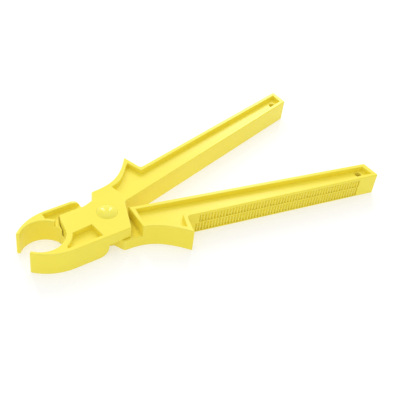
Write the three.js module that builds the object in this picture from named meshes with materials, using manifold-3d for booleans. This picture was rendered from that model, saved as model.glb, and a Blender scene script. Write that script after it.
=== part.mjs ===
// Fuse puller: two identical moulded lever arms that cross in a half-lap joint at one pin.
// One arm is the other turned over about X. Millimetres, +Z up; the pivot axis is Z at the origin,
// the handles point to +X, the jaws to -X, and the tool lies flat on z = 0, a little open.

import * as THREE from "three";
import { mergeVertices } from "three/addons/utils/BufferGeometryUtils.js";
import Module from "manifold-3d";

const wasm = await Module();
wasm.setup();
const deg = THREE.MathUtils.degToRad;

// Driving dimensions
const THICKNESS = 12.65; // full height of jaws and handles
const LAP_GAP = 0.3; // clearance between the two lap plates
const FUSE_RADIUS = 11.2; // the jaws grip a fuse cartridge 22 mm across
const FUSE_CENTRE = [-33.85, 1.13]; // of one arm's jaw; the two centres meet when nearly closed
const JAW_EDGE_Y = -15; // straight outer edge of the jaw and lap plate
const JAW_BACK_RADIUS = 26.4; // outer curve of the jaw, tangent to that edge
const JAW_BACK_X = -25; // where the outer curve leaves the straight edge
const TIP_INNER_ANGLE = deg(219.4); // about the fuse centre
const TIP_OUTER_ANGLE = deg(224.3); // about the outer curve's centre
const NOSE_RADIUS = 22.5; // rounded end of the lap plate, about the pivot
const NOSE_GAP = 0.35;
const PLATE_BACK_Y = 9; // back edge of the lap plate
const JAW_ROOT_Y = -3.9; // where the lower half of the jaw ends beside the fuse
const JAW_HEEL_X = -7; // end of the full-height jaw block
const JAW_HEEL_RADIUS = 5; // its rounded outer corner, seen from the side
const HANDLE_END_X = 142.3; // flat end face
const CHANNEL_DEPTH = 2.7; // lightening channel on both faces of the handle
const POCKET_DEPTH = 3.1; // pocket on both faces of the jaw
const POCKET_RIM = 2.9; // width left round the fuse bore by the pocket on the plate's side
const STEP_RIM = 1.7; // and by the step on the other side
const STEP_INSET = 1; // how far the step runs into the throat of the bore
const PIN_RADIUS = 3;
const PIN_CLEARANCE = 0.08; // running fit in the arms
const HEAD_RADIUS = 5;
const HEAD_RISE = 1.7; // height of the dome over the upper face
const SEAT_RADIUS = 5.15; // seat for the pin's head or its cap, in each outer face
const SEAT_DEPTH = 1.2;
const DISC_THICKNESS = 0.9; // head rim and cap
const LANYARD_RADIUS = 1.7;
const LANYARD_CENTRE = [135.4, 36.9];
const OVERCUT = 1; // how far a cutter runs past the face it opens
const CORNER_STEPS = 5; // straight steps round a corner

const YELLOW = 0xf7e83e;

// Draws a polyline with rounded corners: each corner is [x, y] or [x, y, radius].
function drawCorners(path, corners) {
  corners.forEach(([x, y, radius = 0], i) => {
    if (radius === 0) {
      path.lineTo(x, y);
      return;
    }
    const corner = new THREE.Vector2(x, y);
    const after = new THREE.Vector2(...corners[i + 1].slice(0, 2)).sub(corner).normalize();
    const before = path.currentPoint.clone().sub(corner).normalize();
    const half = before.angleTo(after) / 2;
    const reach = radius / Math.tan(half);
    const entry = before.multiplyScalar(reach).add(corner);
    const exit = after.multiplyScalar(reach).add(corner);
    const bend = new THREE.QuadraticBezierCurve(entry, new THREE.Vector2(x, y), exit);
    bend.getPoints(CORNER_STEPS).forEach((point) => path.lineTo(point.x, point.y));
  });
}

// The whole plan outline of one arm, from the jaw tip round the grip, guard and handle.
function armOutline() {
  const shape = new THREE.Shape();
  const [fx, fy] = FUSE_CENTRE;
  const noseEnd = Math.PI - Math.asin(PLATE_BACK_Y / NOSE_RADIUS);
  shape.absarc(fx, fy, FUSE_RADIUS, TIP_INNER_ANGLE, deg(357), false);
  shape.absarc(0, 0, NOSE_RADIUS, deg(176.5), noseEnd, true);
  drawCorners(shape, [
    [-7.5, PLATE_BACK_Y, 2],
    [-2, 10.8, 1.5],
    [0.6, 16.2, 1.6],
    [3, 16.4],
  ]);
  shape.bezierCurveTo(14, 17, 20, 21, 28.3, 31.2);
  drawCorners(shape, [
    [29.1, 32.2],
    [32.4, 21.3, 1.8],
    [HANDLE_END_X, 44.6, 0.8],
    [HANDLE_END_X, 33.7, 0.8],
    [11.48, 2.36, 2],
    [4.6, JAW_EDGE_Y],
    [JAW_BACK_X, JAW_EDGE_Y],
  ]);
  const backCentreY = JAW_EDGE_Y + JAW_BACK_RADIUS;
  shape.absarc(JAW_BACK_X, backCentreY, JAW_BACK_RADIUS, deg(270), TIP_OUTER_ANGLE, true);
  return shape;
}

// What the half-lap joint takes out of the lower half, seen in plan: room for the other arm's plate.
function lapOutline() {
  const shape = new THREE.Shape();
  const radius = NOSE_RADIUS + NOSE_GAP;
  const from = Math.PI - Math.asin(JAW_ROOT_Y / radius);
  shape.moveTo(-29, JAW_ROOT_Y);
  shape.absarc(0, 0, radius, from, deg(208.4), false);
  drawCorners(shape, [
    [JAW_HEEL_X, -9.9],
    [JAW_HEEL_X, -20],
    [12.7, -20],
    [9.4, 22],
    [-29, 22],
  ]);
  return shape;
}

// Lightening channel of the handle, reaching into the finger guard.
function channelOutline() {
  const shape = new THREE.Shape();
  shape.moveTo(13.1, 5);
  drawCorners(shape, [
    [139.5, 35.4],
    [139.8, 41.8],
    [31.2, 18.8, 1],
    [28.1, 27.2],
    [26.4, 25.8],
  ]);
  shape.bezierCurveTo(20.5, 19, 17.5, 16.2, 12.4, 15.2);
  drawCorners(shape, [
    [11.6, 15.1],
    [13.1, 5],
  ]);
  return shape;
}

// Pocket in the outer face of the jaw, on the side of the lap plate.
function pocketOutline() {
  const shape = new THREE.Shape();
  const [fx, fy] = FUSE_CENTRE;
  shape.absarc(fx, fy, FUSE_RADIUS + POCKET_RIM, deg(-61), deg(-25.5), false);
  drawCorners(shape, [
    [-10.6, -4.1],
    [-9.7, -12.8],
    [-27.6, -12.5],
    [-27, -11.2],
  ]);
  return shape;
}

// Step in the other outer face of the jaw: it leaves an outer rim and a rim round the fuse bore.
function stepOutline() {
  const shape = new THREE.Shape();
  const [fx, fy] = FUSE_CENTRE;
  shape.absarc(fx, fy, FUSE_RADIUS + STEP_RIM, deg(-61), deg(-38), false);
  shape.absarc(fx, fy, FUSE_RADIUS - STEP_INSET, deg(-38), deg(-20), false);
  drawCorners(shape, [
    [-18, 0],
    [0, 0],
    [0, -13.2],
    [-27.4, -13.2],
    [-27.4, -11],
  ]);
  return shape;
}

// A prism from z = low to z = high over a plan outline, ready for cutting and joining.
function prism(shape, low, high, curveSegments = 10) {
  const settings = { depth: high - low, bevelEnabled: false, curveSegments };
  const geometry = new THREE.ExtrudeGeometry(shape, settings);
  geometry.translate(0, 0, low);
  return toSolid(geometry);
}

function cylinder(radius, low, high, [x, y] = [0, 0], segments = 40) {
  const geometry = new THREE.CylinderGeometry(radius, radius, high - low, segments);
  geometry.rotateX(Math.PI / 2);
  geometry.translate(x, y, (low + high) / 2);
  return toSolid(geometry);
}

function toSolid(geometry) {
  geometry.deleteAttribute("normal");
  geometry.deleteAttribute("uv");
  const merged = mergeVertices(geometry, 1e-4);
  const vertProperties = new Float32Array(merged.attributes.position.array);
  const triVerts = new Uint32Array(merged.index.array);
  return new wasm.Manifold(new wasm.Mesh({ numProp: 3, vertProperties, triVerts }));
}

function toGeometry(solid) {
  const { vertProperties, triVerts } = solid.getMesh();
  const geometry = new THREE.BufferGeometry();
  geometry.setAttribute("position", new THREE.BufferAttribute(vertProperties, 3));
  geometry.setIndex(new THREE.BufferAttribute(triVerts, 1));
  geometry.computeVertexNormals();
  return geometry;
}

// Room beyond the rounded heel of the jaw block: its outline is drawn in X and Z, from the side,
// and it runs across the jaw, from inside the lap cut to past the jaw's outer edge.
function heelRelief() {
  const radius = JAW_HEEL_RADIUS;
  const startX = JAW_HEEL_X - radius;
  const side = new THREE.Shape();
  side.moveTo(startX, -OVERCUT);
  side.lineTo(startX, 0);
  side.absarc(startX, radius, radius, -Math.PI / 2, 0, false);
  side.lineTo(JAW_HEEL_X + OVERCUT, radius);
  side.lineTo(JAW_HEEL_X + OVERCUT, -OVERCUT);
  const across = JAW_ROOT_Y - JAW_EDGE_Y + 2 * OVERCUT;
  const settings = { depth: across, bevelEnabled: false, curveSegments: 8 };
  const geometry = new THREE.ExtrudeGeometry(side, settings);
  geometry.rotateX(Math.PI / 2);
  geometry.translate(0, JAW_ROOT_Y + OVERCUT, 0);
  return toSolid(geometry);
}

function armSolid() {
  const lapTop = (THICKNESS + LAP_GAP) / 2;
  const above = THICKNESS + OVERCUT;
  const cuts = [
    prism(lapOutline(), -OVERCUT, lapTop),
    heelRelief(),
    prism(channelOutline(), THICKNESS - CHANNEL_DEPTH, above),
    prism(channelOutline(), -OVERCUT, CHANNEL_DEPTH),
    prism(pocketOutline(), THICKNESS - POCKET_DEPTH, above),
    prism(stepOutline(), -OVERCUT, POCKET_DEPTH),
    cylinder(PIN_RADIUS + PIN_CLEARANCE, -OVERCUT, above),
    cylinder(SEAT_RADIUS, THICKNESS - SEAT_DEPTH, above),
    cylinder(LANYARD_RADIUS, -OVERCUT, above, LANYARD_CENTRE, 24),
  ];
  return cuts.reduce((solid, cut) => solid.subtract(cut), prism(armOutline(), 0, THICKNESS, 20));
}

// The arm whose lap plate is the upper one; its jaw is at -Y and its handle at +Y.
function upperArm() {
  const material = new THREE.MeshStandardMaterial({ color: YELLOW, roughness: 0.38, metalness: 0 });
  const mesh = new THREE.Mesh(toGeometry(armSolid()), material);
  mesh.name = "upper_arm";
  return mesh;
}

// The same moulding turned over about the X axis at mid-height.
function lowerArm() {
  const material = new THREE.MeshStandardMaterial({ color: YELLOW, roughness: 0.38, metalness: 0 });
  const mesh = new THREE.Mesh(toGeometry(armSolid()), material);
  mesh.name = "lower_arm";
  mesh.rotation.x = Math.PI;
  mesh.position.z = THICKNESS;
  return mesh;
}

// Shank and domed head in one piece. The head's rim sits in the upper arm's seat.
function pivotPin() {
  const rimBottom = THICKNESS - DISC_THICKNESS;
  const domeRadius = (HEAD_RADIUS ** 2 + HEAD_RISE ** 2) / (2 * HEAD_RISE);
  const domeCentreZ = THICKNESS + HEAD_RISE - domeRadius;
  const profile = [
    new THREE.Vector2(0, SEAT_DEPTH),
    new THREE.Vector2(PIN_RADIUS, SEAT_DEPTH),
    new THREE.Vector2(PIN_RADIUS, rimBottom),
    new THREE.Vector2(HEAD_RADIUS, rimBottom),
  ];
  const steps = 8;
  const rimAngle = Math.asin(HEAD_RADIUS / domeRadius);
  for (let i = 0; i < steps; i++) {
    const angle = rimAngle * (1 - i / steps);
    const height = domeCentreZ + domeRadius * Math.cos(angle);
    profile.push(new THREE.Vector2(domeRadius * Math.sin(angle), height));
  }
  profile.push(new THREE.Vector2(0, THICKNESS + HEAD_RISE));
  const geometry = new THREE.LatheGeometry(profile, 40);
  geometry.rotateX(Math.PI / 2);
  const material = new THREE.MeshStandardMaterial({ color: YELLOW, roughness: 0.2, metalness: 0 });
  const mesh = new THREE.Mesh(geometry, material);
  mesh.name = "pivot_pin";
  return mesh;
}

// Flush disc that holds the pin in the lower arm's seat; its face is level with the tool's underside.
function pivotCap() {
  const geometry = new THREE.CylinderGeometry(HEAD_RADIUS, HEAD_RADIUS, DISC_THICKNESS, 40);
  geometry.rotateX(Math.PI / 2);
  const material = new THREE.MeshStandardMaterial({ color: YELLOW, roughness: 0.3, metalness: 0 });
  const mesh = new THREE.Mesh(geometry, material);
  mesh.position.z = DISC_THICKNESS / 2;
  mesh.name = "pivot_cap";
  return mesh;
}

const group = new THREE.Group();
group.add(upperArm(), lowerArm(), pivotPin(), pivotCap());

export default group;
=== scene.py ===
# A plier-like fuse puller: two yellow moulded arms that cross on one domed pin, with curved jaws,
# finger guards and ribbed handles. Metres, +X towards the handles, +Z up along the pin.

import math

import bmesh
import bpy
from mathutils import Matrix, Quaternion, Vector
from mathutils.geometry import intersect_line_line_2d


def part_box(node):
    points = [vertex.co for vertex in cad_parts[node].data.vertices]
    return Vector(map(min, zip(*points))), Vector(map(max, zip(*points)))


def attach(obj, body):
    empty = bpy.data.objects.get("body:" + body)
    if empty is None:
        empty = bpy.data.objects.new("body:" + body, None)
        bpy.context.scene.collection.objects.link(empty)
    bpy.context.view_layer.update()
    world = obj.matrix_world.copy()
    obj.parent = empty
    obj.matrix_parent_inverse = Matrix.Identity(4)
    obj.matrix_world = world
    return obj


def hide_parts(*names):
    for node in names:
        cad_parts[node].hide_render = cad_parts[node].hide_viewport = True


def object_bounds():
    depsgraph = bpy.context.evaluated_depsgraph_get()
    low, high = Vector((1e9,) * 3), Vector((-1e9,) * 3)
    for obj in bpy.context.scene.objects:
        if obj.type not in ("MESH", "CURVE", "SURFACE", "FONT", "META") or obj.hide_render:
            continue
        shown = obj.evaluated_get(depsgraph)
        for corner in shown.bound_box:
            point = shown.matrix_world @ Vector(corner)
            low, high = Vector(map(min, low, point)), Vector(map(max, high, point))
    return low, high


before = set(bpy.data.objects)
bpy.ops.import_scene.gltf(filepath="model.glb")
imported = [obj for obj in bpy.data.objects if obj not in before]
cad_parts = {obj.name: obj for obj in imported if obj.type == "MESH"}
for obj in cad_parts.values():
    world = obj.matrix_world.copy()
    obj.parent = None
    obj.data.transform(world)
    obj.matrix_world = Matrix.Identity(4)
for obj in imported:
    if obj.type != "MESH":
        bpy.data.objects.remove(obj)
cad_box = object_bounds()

# ------------------------------------------------------------------------------------ camera
# Stands at the front left and looks down at about 41 degrees, so the jaws are near and the
# handles run away to the right. It is rolled a little, as a hand-held view is.
camera_place = Vector((-0.1386, -0.2259, 0.2544))
camera_aim = Vector((0.4957, 0.5714, -0.6541))
camera_roll = math.radians(8.1)

camera_data = bpy.data.cameras.new("camera")
camera_data.lens = 66.8
camera_data.sensor_width = 36
camera_data.clip_start = 0.01
camera_data.clip_end = 50
camera = bpy.data.objects.new("camera", camera_data)
camera.location = camera_place
camera.rotation_mode = "QUATERNION"
camera.rotation_quaternion = camera_aim.to_track_quat("-Z", "Y") @ Quaternion((0, 0, 1), camera_roll)
bpy.context.scene.collection.objects.link(camera)
bpy.context.scene.camera = camera


# ------------------------------------------------------------------------------ the two arms
# Each arm is one injection moulding in yellow nylon: jaw, lap plate, finger guard and handle.
# The second arm is the same moulding turned over about X. Edges come softly rounded from the
# mould, and the finger side of each handle has two rows of small upright ribs.
mm = 0.001
arm_low, arm_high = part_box("upper_arm")
arm_thickness = arm_high.z - arm_low.z
mould_angle = math.radians(0.5)  # faces closer to one plane than this are one face
smallest_edge = 0.04 * mm  # points closer than this are one point
round_angle = math.radians(28)  # edges sharper than this are rounded
sharp_angle = math.radians(48)  # what is still sharper than this afterwards stays crisp
outer_round = 0.45 * mm
inner_round = 0.25 * mm
round_steps = 3

# Rounding can fold over itself in a tight corner. A loop smaller than this is closed to a point, and
# a longer one is cut off a little way outside the crossing.
smallest_loop = 1 * mm
crossing_gap = 0.15 * mm
untangle_passes = 8
thinnest_face = 0.002 * mm
least_length = 1e-9  # stands in for a length of zero where a length divides

# The pin's bore and seat stay crisp, and so do the small corners where the jaw meets the lap.
seat_reach = 5.4 * mm
jaw_root = Vector((-23.1, -2.2)) * mm
jaw_root_reach = 1.4 * mm

# The finger side runs straight from the guard's neck to the handle's end.
grip_start = Vector((32.4, 21.3, 0)) * mm
grip_end = Vector((142.3, 44.6, 0)) * mm
grip_along = (grip_end - grip_start).normalized()
grip_outward = Vector((-grip_along.y, grip_along.x, 0))
grip_angle = math.atan2(grip_along.y, grip_along.x)

# The ribs stand in a shallow band, so that their crests are level with the plain handle. A narrow
# ridge at half height parts the two rows.
rib_pitch = 1.675 * mm
rib_width = 1.02 * mm
rib_height = 0.9 * mm
rib_sunk_end = 0.1 * mm  # how far each end of a rib runs into the band's wall
rib_sides = 12
rib_shoulder = 13 / 30  # where a rib starts to taper, as a share of its length from its middle
rib_end_size = 0.62  # the width of a rib's ends, as a share of its full width
band_depth = 0.92 * mm
band_margin = 0.5 * mm
band_overcut = 2 * mm
half_ridge = 0.3 * mm
middle_height = arm_thickness / 2
grip_rows = (
    {"first": 7.9 * mm, "count": 56, "low": 1.3 * mm, "high": middle_height - half_ridge},
    {"first": 6.2 * mm, "count": 57, "low": middle_height + half_ridge, "high": arm_thickness - 0.8 * mm},
)


def shown(name, mesh):
    """Puts a mesh in the scene as an object at the origin."""
    thing = bpy.data.objects.new(name, mesh)
    bpy.context.scene.collection.objects.link(thing)
    return thing


def settled(thing, name):
    """The mesh that an object's modifiers make. The object and its modifiers are then removed."""
    bpy.context.view_layer.update()
    evaluated = thing.evaluated_get(bpy.context.evaluated_depsgraph_get())
    mesh = bpy.data.meshes.new_from_object(
        evaluated,
        preserve_all_data_layers=True,
        depsgraph=bpy.context.evaluated_depsgraph_get(),
    )
    mesh.name = name
    bpy.data.objects.remove(thing)
    return mesh


def combined(mesh, other, operation, name):
    """One closed skin from two: what is left of a mesh after another cuts it or is joined to it."""
    thing = shown("work", mesh)
    tool = shown("tool", other)
    step = thing.modifiers.new("combine", "BOOLEAN")
    step.operation = operation
    step.solver = "MANIFOLD"
    step.object = tool
    result = settled(thing, name)
    bpy.data.objects.remove(tool)
    return result


def arm_blank():
    """The arm's shape from the frame as one closed skin."""
    skin = bmesh.new()
    skin.from_mesh(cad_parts["upper_arm"].data)
    bmesh.ops.remove_doubles(skin, verts=skin.verts, dist=smallest_edge)
    bmesh.ops.dissolve_degenerate(skin, edges=skin.edges, dist=smallest_edge / 4)
    mesh = bpy.data.meshes.new("arm_blank")
    skin.to_mesh(mesh)
    skin.free()
    for left_over in ("custom_normal", "sharp_edge", "sharp_face"):
        if left_over in mesh.attributes:
            mesh.attributes.remove(mesh.attributes[left_over])
    return mesh


def grip_bands():
    """Two long blocks, one for each row of ribs, that sink the band into the finger side."""
    blocks = bmesh.new()
    for row in grip_rows:
        from_along = row["first"] - band_margin - rib_width / 2
        to_along = row["first"] + (row["count"] - 1) * rib_pitch + rib_width / 2 + band_margin
        corners = []
        for z in (row["low"], row["high"]):
            for along, outward in (
                (from_along, -band_depth),
                (to_along, -band_depth),
                (to_along, band_overcut),
                (from_along, band_overcut),
            ):
                point = grip_start + grip_along * along + grip_outward * outward
                corners.append(blocks.verts.new((point.x, point.y, z)))
        for face in ((3, 2, 1, 0), (4, 5, 6, 7), (0, 1, 5, 4), (1, 2, 6, 5), (2, 3, 7, 6), (3, 0, 4, 7)):
            blocks.faces.new([corners[i] for i in face])
    mesh = bpy.data.meshes.new("grip_bands")
    blocks.to_mesh(mesh)
    blocks.free()
    return mesh


def face_crossing(face):
    """Where a face's outline crosses itself, and the short run of its points around that place."""
    count = len(face.verts)
    drop = max(range(3), key=lambda axis: abs(face.normal[axis]))
    across, up = [axis for axis in range(3) if axis != drop]
    flat = [Vector((vert.co[across], vert.co[up])) for vert in face.verts]
    for a in range(count):
        for b in range(a + 2, count):
            if a == 0 and b == count - 1:
                continue
            hit = intersect_line_line_2d(flat[a], flat[a + 1], flat[b], flat[(b + 1) % count])
            if hit is None:
                continue
            share = (hit - flat[a]).length / max((flat[a + 1] - flat[a]).length, least_length)
            place = face.verts[a].co.lerp(face.verts[a + 1].co, share)
            inner_run = [face.verts[k % count] for k in range(a, b + 2)]
            outer_run = [face.verts[k % count] for k in range(b, a + 2 + count)]
            run = min(
                (inner_run, outer_run),
                key=lambda verts: max((vert.co - place).length for vert in verts[1:-1]),
            )
            return place, run
    return None


def point_near(place, outer, inner):
    """A new point on the edge between two points, just outside the place of a crossing."""
    reach = (outer.co - place).length
    if reach < 2 * crossing_gap:
        return outer
    edge = next(e for e in outer.link_edges if e.other_vert(outer) == inner)
    return bmesh.utils.edge_split(edge, outer, (reach - crossing_gap) / edge.calc_length())[1]


def untangle(skin):
    """Closes the small loops that rounding leaves. A long thin loop gets its own face."""
    own_faces = set()
    for attempt in range(untangle_passes):
        changed = False
        for face in list(skin.faces):
            if not face.is_valid or len(face.verts) < 4 or face in own_faces:
                continue
            crossing = face_crossing(face)
            if crossing is None:
                continue
            place, run = crossing
            loop = run[1:-1]
            if max((vert.co - place).length for vert in loop) < smallest_loop:
                bmesh.ops.pointmerge(skin, verts=loop, merge_co=place)
                changed = True
                continue
            first = point_near(place, run[0], run[1])
            last = point_near(place, run[-1], run[-2])
            made = bmesh.utils.face_split(face, first, last)
            own_faces.add(made[0] if made and loop[0] in made[0].verts else face)
            changed = True
        if not changed:
            break
    bmesh.ops.dissolve_degenerate(skin, edges=skin.edges, dist=thinnest_face)


def stays_crisp(edge):
    """The pin's bore and seat, and the tight corners at the jaw's root, are not rounded."""
    middle = (edge.verts[0].co + edge.verts[1].co).xy / 2
    return middle.length < seat_reach or (middle - jaw_root).length < jaw_root_reach


def rounded(mesh, name):
    """Makes each flat face whole, then rounds the edges: outer ones more than inner, crisp ones not."""
    skin = bmesh.new()
    skin.from_mesh(mesh)
    bmesh.ops.dissolve_limit(
        skin,
        angle_limit=mould_angle,
        use_dissolve_boundaries=False,
        verts=skin.verts,
        edges=skin.edges,
    )
    weight = skin.edges.layers.float.new("bevel_weight_edge")
    for edge in skin.edges:
        turn = edge.calc_face_angle_signed(0)
        if abs(turn) > round_angle and not stays_crisp(edge):
            edge[weight] = 1.0 if turn > 0 else inner_round / outer_round
    skin.to_mesh(mesh)
    skin.free()
    thing = shown("work", mesh)
    bevel = thing.modifiers.new("round", "BEVEL")
    bevel.limit_method = "WEIGHT"
    bevel.width = outer_round
    bevel.segments = round_steps
    bevel.use_clamp_overlap = False
    result = settled(thing, name)
    skin = bmesh.new()
    skin.from_mesh(result)
    untangle(skin)
    skin.to_mesh(result)
    skin.free()
    return result


arm_mesh = rounded(arm_blank(), "arm_rounded")
arm_mesh = combined(arm_mesh, grip_bands(), "DIFFERENCE", "arm_with_bands")


def rib_row_tree():
    """Adds a row of upright ribs to what comes in. Each rib is a flattened rod with tapered ends."""
    tree = bpy.data.node_groups.new("rib_row", "GeometryNodeTree")
    tree.is_modifier = True
    sockets = tree.interface
    sockets.new_socket("Geometry", in_out="INPUT", socket_type="NodeSocketGeometry")
    for name, kind in (
        ("Rib Count", "NodeSocketInt"),
        ("Rib Pitch", "NodeSocketFloat"),
        ("Rib Size", "NodeSocketVector"),
        ("First Rib", "NodeSocketVector"),
        ("Grip Turn", "NodeSocketRotation"),
        ("Rib Material", "NodeSocketMaterial"),
    ):
        sockets.new_socket(name, in_out="INPUT", socket_type=kind)
    sockets.new_socket("Geometry", in_out="OUTPUT", socket_type="NodeSocketGeometry")
    nodes, links = tree.nodes, tree.links
    given = nodes.new("NodeGroupInput")
    made = nodes.new("NodeGroupOutput")

    # The rod has four rings of points. The two inner ones move out to the rib's shoulders, and the two
    # at the ends are drawn in.
    end_ring = 1 / 2
    inner_ring = 1 / 6
    rod = nodes.new("GeometryNodeMeshCylinder")
    rod.inputs["Vertices"].default_value = rib_sides
    rod.inputs["Side Segments"].default_value = 3
    rod.inputs["Radius"].default_value = 0.5
    rod.inputs["Depth"].default_value = 1

    place = nodes.new("GeometryNodeInputPosition")
    part = nodes.new("ShaderNodeSeparateXYZ")
    links.new(place.outputs["Position"], part.inputs["Vector"])
    height = nodes.new("ShaderNodeMath")
    height.operation = "ABSOLUTE"
    links.new(part.outputs["Z"], height.inputs[0])
    is_end = nodes.new("FunctionNodeCompare")
    is_end.operation = "GREATER_THAN"
    is_end.inputs["B"].default_value = (inner_ring + end_ring) / 2
    links.new(height.outputs[0], is_end.inputs["A"])
    stretch = nodes.new("ShaderNodeMix")
    stretch.data_type = "VECTOR"
    stretch.inputs["A"].default_value = (1, 1, rib_shoulder / inner_ring)
    stretch.inputs["B"].default_value = (rib_end_size, rib_end_size, 1)
    links.new(is_end.outputs["Result"], stretch.inputs["Factor"])
    shaped = nodes.new("ShaderNodeVectorMath")
    shaped.operation = "MULTIPLY"
    links.new(place.outputs["Position"], shaped.inputs[0])
    links.new(stretch.outputs["Result"], shaped.inputs[1])
    taper = nodes.new("GeometryNodeSetPosition")
    links.new(rod.outputs["Mesh"], taper.inputs["Geometry"])
    links.new(shaped.outputs["Vector"], taper.inputs["Position"])

    step = nodes.new("ShaderNodeCombineXYZ")
    links.new(given.outputs["Rib Pitch"], step.inputs["X"])
    row = nodes.new("GeometryNodeMeshLine")
    links.new(given.outputs["Rib Count"], row.inputs["Count"])
    links.new(step.outputs["Vector"], row.inputs["Offset"])
    ribs = nodes.new("GeometryNodeInstanceOnPoints")
    links.new(row.outputs["Mesh"], ribs.inputs["Points"])
    links.new(taper.outputs["Geometry"], ribs.inputs["Instance"])
    links.new(given.outputs["Rib Size"], ribs.inputs["Scale"])

    turned = nodes.new("GeometryNodeTransform")
    links.new(ribs.outputs["Instances"], turned.inputs["Geometry"])
    links.new(given.outputs["First Rib"], turned.inputs["Translation"])
    links.new(given.outputs["Grip Turn"], turned.inputs["Rotation"])
    both = nodes.new("GeometryNodeJoinGeometry")
    links.new(given.outputs["Geometry"], both.inputs["Geometry"])
    links.new(turned.outputs["Geometry"], both.inputs["Geometry"])
    real = nodes.new("GeometryNodeRealizeInstances")
    links.new(both.outputs["Geometry"], real.inputs["Geometry"])
    finish = nodes.new("GeometryNodeSetMaterial")
    links.new(real.outputs["Geometry"], finish.inputs["Geometry"])
    links.new(given.outputs["Rib Material"], finish.inputs["Material"])
    links.new(finish.outputs["Geometry"], made.inputs["Geometry"])
    return tree


def socket_of(tree, name):
    """The identifier of a tree's input."""
    for item in tree.interface.items_tree:
        if item.item_type == "SOCKET" and item.in_out == "INPUT" and item.name == name:
            return item.identifier


def grip_ribs(material):
    """Both rows of ribs of one handle, as one mesh."""
    tree = rib_row_tree()
    ribs = shown("ribs", bpy.data.meshes.new("ribs"))
    for row in grip_rows:
        first = grip_start + grip_along * row["first"] - grip_outward * band_depth
        first.z = (row["low"] + row["high"]) / 2
        modifier = ribs.modifiers.new("row", "NODES")
        modifier.node_group = tree
        values = {
            "Rib Count": row["count"],
            "Rib Pitch": rib_pitch,
            "Rib Size": (rib_width, 2 * rib_height, row["high"] - row["low"] + 2 * rib_sunk_end),
            "First Rib": first,
            "Grip Turn": (0, 0, grip_angle),
            "Rib Material": material,
        }
        for name, value in values.items():
            modifier[socket_of(tree, name)] = value
    return settled(ribs, "grip_ribs")


def new_group(name, inputs, outputs):
    """An empty shader node group with named sockets."""
    group = bpy.data.node_groups.new(name, "ShaderNodeTree")
    for label, kind in inputs:
        group.interface.new_socket(label, in_out="INPUT", socket_type="NodeSocket" + kind)
    for label, kind in outputs:
        group.interface.new_socket(label, in_out="OUTPUT", socket_type="NodeSocket" + kind)
    return group, group.nodes.new("NodeGroupInput"), group.nodes.new("NodeGroupOutput")


def tone_drift_group():
    """Slow cloudy change of colour, from uneven pigment in the melt."""
    group, given, made = new_group(
        "tone_drift",
        (
            ("Vector", "Vector"),
            ("Scale", "Float"),
            ("Amount", "Float"),
            ("Main", "Color"),
            ("Deep", "Color"),
        ),
        (("Color", "Color"),),
    )
    nodes, links = group.nodes, group.links
    cloud = nodes.new("ShaderNodeTexNoise")
    cloud.inputs["Detail"].default_value = 3
    cloud.inputs["Roughness"].default_value = 0.55
    links.new(given.outputs["Vector"], cloud.inputs["Vector"])
    links.new(given.outputs["Scale"], cloud.inputs["Scale"])
    spread = nodes.new("ShaderNodeMapRange")
    spread.inputs["From Min"].default_value = 0.35
    spread.inputs["From Max"].default_value = 0.7
    links.new(cloud.outputs["Fac"], spread.inputs["Value"])
    share = nodes.new("ShaderNodeMath")
    share.operation = "MULTIPLY"
    links.new(spread.outputs["Result"], share.inputs[0])
    links.new(given.outputs["Amount"], share.inputs[1])
    mix = nodes.new("ShaderNodeMix")
    mix.data_type = "RGBA"
    links.new(share.outputs[0], mix.inputs["Factor"])
    links.new(given.outputs["Main"], mix.inputs["A"])
    links.new(given.outputs["Deep"], mix.inputs["B"])
    links.new(mix.outputs["Result"], made.inputs["Color"])
    return group


def mould_grain_group():
    """The fine etched grain that the mould's steel leaves, on top of a slight waviness."""
    group, given, made = new_group(
        "mould_grain",
        (
            ("Vector", "Vector"),
            ("Grain Scale", "Float"),
            ("Wave Scale", "Float"),
            ("Wave Share", "Float"),
        ),
        (("Height", "Float"), ("Speckle", "Float")),
    )
    nodes, links = group.nodes, group.links
    grain = nodes.new("ShaderNodeTexNoise")
    grain.inputs["Detail"].default_value = 2
    grain.inputs["Roughness"].default_value = 0.6
    links.new(given.outputs["Vector"], grain.inputs["Vector"])
    links.new(given.outputs["Grain Scale"], grain.inputs["Scale"])
    wave = nodes.new("ShaderNodeTexNoise")
    wave.inputs["Detail"].default_value = 1
    links.new(given.outputs["Vector"], wave.inputs["Vector"])
    links.new(given.outputs["Wave Scale"], wave.inputs["Scale"])
    mix = nodes.new("ShaderNodeMix")
    mix.data_type = "FLOAT"
    links.new(given.outputs["Wave Share"], mix.inputs["Factor"])
    links.new(grain.outputs["Fac"], mix.inputs["A"])
    links.new(wave.outputs["Fac"], mix.inputs["B"])
    links.new(mix.outputs["Result"], made.inputs["Height"])
    links.new(grain.outputs["Fac"], made.inputs["Speckle"])
    return group


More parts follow.
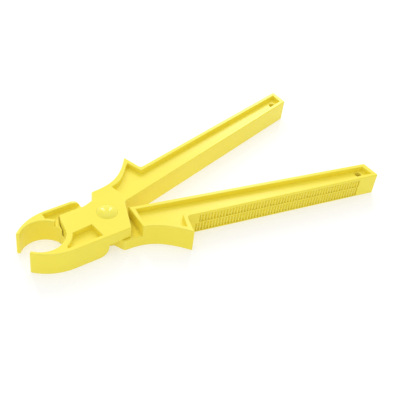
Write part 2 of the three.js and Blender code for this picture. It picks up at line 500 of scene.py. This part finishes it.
def edge_wear_and_highlight_group():
    """Where the rounded edges are paler and smoother, in broken patches: partly worn plastic, partly a
    painted highlight.
    """
    group, given, made = new_group(
        "edge_wear_and_highlight",
        (("Vector", "Vector"), ("Edge", "Float"), ("Patch Scale", "Float"), ("Amount", "Float")),
        (("Mask", "Float"),),
    )
    nodes, links = group.nodes, group.links
    patch = nodes.new("ShaderNodeTexNoise")
    patch.inputs["Detail"].default_value = 4
    links.new(given.outputs["Vector"], patch.inputs["Vector"])
    links.new(given.outputs["Patch Scale"], patch.inputs["Scale"])
    broken = nodes.new("ShaderNodeMapRange")
    broken.inputs["From Min"].default_value = 0.3
    broken.inputs["From Max"].default_value = 0.65
    broken.inputs["To Min"].default_value = 0.35
    links.new(patch.outputs["Fac"], broken.inputs["Value"])
    wear_and_highlight = nodes.new("ShaderNodeMath")
    wear_and_highlight.operation = "MULTIPLY"
    links.new(given.outputs["Edge"], wear_and_highlight.inputs[0])
    links.new(broken.outputs["Result"], wear_and_highlight.inputs[1])
    scaled = nodes.new("ShaderNodeMath")
    scaled.operation = "MULTIPLY"
    links.new(wear_and_highlight.outputs[0], scaled.inputs[0])
    links.new(given.outputs["Amount"], scaled.inputs[1])
    links.new(scaled.outputs[0], made.inputs["Mask"])
    return group


tone_drift = tone_drift_group()
mould_grain = mould_grain_group()
edge_wear_and_highlight = edge_wear_and_highlight_group()


def placed(nodes, group, **values):
    """A group node in a material, with its own values."""
    node = nodes.new("ShaderNodeGroup")
    node.node_tree = group
    for name, value in values.items():
        node.inputs[name.replace("_", " ")].default_value = value
    return node


def moulded_plastic(name, main, deep, pale_wear_and_highlight, roughness, grain_depth, wear_and_highlight_amount):
    """A gloss moulded plastic: drifting colour, fine grain, and paler, smoother edges, partly worn and
    partly a painted highlight.
    """
    material = bpy.data.materials.new(name)
    material.use_nodes = True
    nodes, links = material.node_tree.nodes, material.node_tree.links
    nodes.clear()
    out = nodes.new("ShaderNodeOutputMaterial")
    gloss = nodes.new("ShaderNodeBsdfPrincipled")
    gloss.inputs["IOR"].default_value = 1.5
    gloss.inputs["Specular IOR Level"].default_value = 0.35
    links.new(gloss.outputs["BSDF"], out.inputs["Surface"])
    where = nodes.new("ShaderNodeTexCoord")
    edge = nodes.new("ShaderNodeAttribute")
    edge.attribute_name = "edge"

    drift = placed(nodes, tone_drift, Scale=38, Amount=0.55, Main=main, Deep=deep)
    grain = placed(nodes, mould_grain, Grain_Scale=2600, Wave_Scale=90, Wave_Share=0.35)
    wear_and_highlight = placed(nodes, edge_wear_and_highlight, Patch_Scale=260, Amount=wear_and_highlight_amount)
    for node in (drift, grain, wear_and_highlight):
        links.new(where.outputs["Object"], node.inputs["Vector"])
    links.new(edge.outputs["Fac"], wear_and_highlight.inputs["Edge"])

    # The rounded edges are tinted paler in broken patches, partly as wear and partly as a painted
    # highlight.
    colour = nodes.new("ShaderNodeMix")
    colour.data_type = "RGBA"
    colour.inputs["B"].default_value = pale_wear_and_highlight
    links.new(wear_and_highlight.outputs["Mask"], colour.inputs["Factor"])
    links.new(drift.outputs["Color"], colour.inputs["A"])
    links.new(colour.outputs["Result"], gloss.inputs["Base Color"])

    gloss_spread = 0.05
    matt_spread = 0.07
    rub_polish = 0.12
    matt = nodes.new("ShaderNodeMapRange")
    matt.inputs["From Min"].default_value = 0.25
    matt.inputs["From Max"].default_value = 0.75
    matt.inputs["To Min"].default_value = roughness - gloss_spread
    matt.inputs["To Max"].default_value = roughness + matt_spread
    links.new(grain.outputs["Speckle"], matt.inputs["Value"])
    smoother = nodes.new("ShaderNodeMath")
    smoother.operation = "MULTIPLY_ADD"
    smoother.inputs[1].default_value = -rub_polish
    links.new(wear_and_highlight.outputs["Mask"], smoother.inputs[0])
    links.new(matt.outputs["Result"], smoother.inputs[2])
    links.new(smoother.outputs[0], gloss.inputs["Roughness"])

    bump = nodes.new("ShaderNodeBump")
    bump.inputs["Strength"].default_value = 0.6
    bump.inputs["Distance"].default_value = grain_depth
    links.new(grain.outputs["Height"], bump.inputs["Height"])
    links.new(bump.outputs["Normal"], gloss.inputs["Normal"])
    return material


arm_plastic = moulded_plastic(
    "yellow_nylon",
    main=(0.95, 0.822, 0.074, 1),
    deep=(0.93, 0.78, 0.056, 1),
    pale_wear_and_highlight=(0.95, 0.88, 0.22, 1),
    roughness=0.33,
    grain_depth=0.02 * mm,
    wear_and_highlight_amount=0.35,
)

arm_mesh = combined(arm_mesh, grip_ribs(arm_plastic), "UNION", "arm")


def mark_edges(mesh):
    """Writes 1 on the points of rounded outer edges and 0 elsewhere, for the material to read."""
    broad = 3 * mm * mm  # a point that touches a face larger than this is on a flat, not on an edge
    least_bulge = 1e-6
    skin = bmesh.new()
    skin.from_mesh(mesh)
    edge_mark = skin.verts.layers.float.new("edge")
    for vert in skin.verts:
        if max(face.calc_area() for face in vert.link_faces) > broad:
            continue
        middle = sum((e.other_vert(vert).co for e in vert.link_edges), Vector()) / len(vert.link_edges)
        if (middle - vert.co).dot(vert.normal) < -least_bulge:
            vert[edge_mark] = 1.0
    skin.to_mesh(mesh)
    skin.free()


def finished(name, mesh, material):
    """A smooth-shaded object with flat faces kept flat."""
    mesh.materials.clear()
    mesh.materials.append(material)
    mesh.polygons.foreach_set("material_index", [0] * len(mesh.polygons))
    mesh.shade_smooth()
    mesh.set_sharp_from_angle(angle=sharp_angle)
    thing = shown("work", mesh)
    weigh = thing.modifiers.new("weigh", "WEIGHTED_NORMAL")
    weigh.weight = 80
    weigh.keep_sharp = True
    return shown(name, settled(thing, name))


mark_edges(arm_mesh)
turn_over = Matrix.Translation((0, 0, arm_thickness)) @ Matrix.Rotation(math.pi, 4, "X")
lower_mesh = arm_mesh.copy()
lower_mesh.transform(turn_over)

upper_arm = finished("moulded_upper_arm", arm_mesh, arm_plastic)
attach(upper_arm, "upper_lever")
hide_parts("upper_arm")

lower_arm = finished("moulded_lower_arm", lower_mesh, arm_plastic)
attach(lower_arm, "lower_lever")
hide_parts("lower_arm")


# ------------------------------------------------------------------------------- pivot pin
# A turned-looking plastic rivet in the same yellow, polished smoother than the arms. Its shank
# runs through both arms and its low domed head fills the seat in the upper arm.
pin_low, pin_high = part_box("pivot_pin")
head_growth = 0.1 * mm  # the head all but touches its seat
head_radius = pin_high.x + head_growth
head_chamfer = 0.15 * mm
head_rise = pin_high.z - arm_thickness
head_sunk_part = 0.9 * mm
head_bottom = arm_thickness - head_sunk_part
shank_radius = 3 * mm
shank_chamfer = 0.3 * mm
dome_radius = (head_radius**2 + head_rise**2) / (2 * head_rise)
dome_centre = pin_high.z - dome_radius
dome_steps = 14


def turned(name, profile):
    """A closed round mesh from a profile of radius and height, listed from bottom to top."""
    sides = 72
    skin = bmesh.new()
    rings = []
    for radius, height in profile:
        if radius == 0:
            rings.append([skin.verts.new((0, 0, height))])
            continue
        ring = []
        for side in range(sides):
            angle = 2 * math.pi * side / sides
            ring.append(skin.verts.new((radius * math.cos(angle), radius * math.sin(angle), height)))
        rings.append(ring)
    for below, above in zip(rings, rings[1:]):
        for side in range(sides):
            after = (side + 1) % sides
            if len(below) == 1:
                skin.faces.new((below[0], above[after], above[side]))
            elif len(above) == 1:
                skin.faces.new((below[side], below[after], above[0]))
            else:
                skin.faces.new((below[side], below[after], above[after], above[side]))
    mesh = bpy.data.meshes.new(name)
    skin.to_mesh(mesh)
    skin.free()
    return mesh


pin_profile = [
    (0, pin_low.z),
    (shank_radius - shank_chamfer, pin_low.z),
    (shank_radius, pin_low.z + shank_chamfer),
    (shank_radius, head_bottom),
    (head_radius - head_chamfer, head_bottom),
    (head_radius, head_bottom + head_chamfer),
]
dome_reach = math.asin(head_radius / dome_radius)
for step in range(dome_steps):
    angle = dome_reach * (1 - step / dome_steps)
    pin_profile.append((dome_radius * math.sin(angle), dome_centre + dome_radius * math.cos(angle)))
pin_profile.append((0, pin_high.z))

pin_plastic = moulded_plastic(
    "yellow_polished",
    main=(0.94, 0.835, 0.07, 1),
    deep=(0.92, 0.80, 0.055, 1),
    pale_wear_and_highlight=(0.95, 0.88, 0.22, 1),
    roughness=0.2,
    grain_depth=0.006 * mm,
    wear_and_highlight_amount=0.3,
)
pin_mesh = turned("domed_pin", pin_profile)
mark_edges(pin_mesh)
pin = finished("domed_pin", pin_mesh, pin_plastic)
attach(pin, "lower_lever")
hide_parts("pivot_pin")


# -------------------------------------------------------------------------- cap on the pin
# A flat disc pressed on the pin's end, level with the tool's underside. Its rim is rounded and
# its middle is dished a little where it was pressed home.
cap_low, cap_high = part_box("pivot_cap")
cap_radius = cap_high.x
dish_depth = 0.25 * mm
rim_round = 0.3 * mm
rim_middle = 0.09 * mm  # the round rim's middle point, from the cap's side and from its face
inside_chamfer = 0.1 * mm
cap_profile = [
    (0, cap_low.z + dish_depth),
    (cap_radius * 0.42, cap_low.z + dish_depth),
    (cap_radius * 0.5, cap_low.z + 0.2 * mm),
    (cap_radius * 0.56, cap_low.z + 0.04 * mm),
    (cap_radius * 0.6, cap_low.z),
    (cap_radius - rim_round, cap_low.z),
    (cap_radius - rim_middle, cap_low.z + rim_middle),
    (cap_radius, cap_low.z + rim_round),
    (cap_radius, cap_high.z - inside_chamfer),
    (cap_radius - inside_chamfer, cap_high.z),
    (0, cap_high.z),
]
cap_mesh = turned("pressed_cap", cap_profile)
mark_edges(cap_mesh)
cap = finished("pressed_cap", cap_mesh, pin_plastic)
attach(cap, "lower_lever")
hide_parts("pivot_cap")


# ------------------------------------------------------------------------ studio floor and light
# A pale matt floor under an even white sky. Two narrow upright lights stand behind the tool and make
# the two glints on the dome, a broad panel hangs overhead, and a weak one fills in from the left.
floor_radius = 3
floor_drop = 0.05 * mm
floor_material = bpy.data.materials.new("studio_floor")
floor_material.use_nodes = True
floor_shader = floor_material.node_tree.nodes["Principled BSDF"]
floor_shader.inputs["Base Color"].default_value = (0.6, 0.6, 0.6, 1)
floor_shader.inputs["Roughness"].default_value = 0.9
floor_shader.inputs["Specular IOR Level"].default_value = 0.1
floor_shader.inputs["Emission Color"].default_value = (1, 1, 1, 1)
floor_shader.inputs["Emission Strength"].default_value = 0.47
floor_skin = bmesh.new()
bmesh.ops.create_circle(floor_skin, cap_ends=True, segments=96, radius=floor_radius)
floor_mesh = bpy.data.meshes.new("studio_floor")
floor_skin.to_mesh(floor_mesh)
floor_skin.free()
floor_mesh.transform(Matrix.Translation((0, 0, cad_box[0].z - floor_drop)))
floor_mesh.materials.append(floor_material)
floor = shown("studio_floor", floor_mesh)

world = bpy.data.worlds.new("white_sky")
world.use_nodes = True
sky = world.node_tree.nodes["Background"]
sky.inputs["Color"].default_value = (1, 1, 1, 1)
sky.inputs["Strength"].default_value = 0.72
bpy.context.scene.world = world
bpy.context.scene.view_settings.view_transform = "Standard"


def panel_light(name, azimuth, elevation, distance, width, height, power):
    """An area light that faces the pivot from a compass angle about Z, in degrees from +X."""
    data = bpy.data.lights.new(name, "AREA")
    data.shape = "RECTANGLE"
    data.size = width
    data.size_y = height
    data.energy = power
    light = bpy.data.objects.new(name, data)
    turn = math.radians(azimuth)
    lift = math.radians(elevation)
    away = Vector((math.cos(turn) * math.cos(lift), math.sin(turn) * math.cos(lift), math.sin(lift)))
    light.location = away * distance
    light.rotation_mode = "QUATERNION"
    light.rotation_quaternion = (-away).to_track_quat("-Z", "Y")
    bpy.context.scene.collection.objects.link(light)


panel_light("left_strip", azimuth=80, elevation=35, distance=1.2, width=0.07, height=0.6, power=3.0)
panel_light("right_strip", azimuth=42, elevation=35, distance=1.2, width=0.07, height=0.6, power=2.6)
panel_light("overhead", azimuth=60, elevation=80, distance=1.4, width=1.0, height=1.0, power=2.4)
panel_light("left_fill", azimuth=205, elevation=22, distance=1.3, width=0.5, height=0.5, power=0.6)
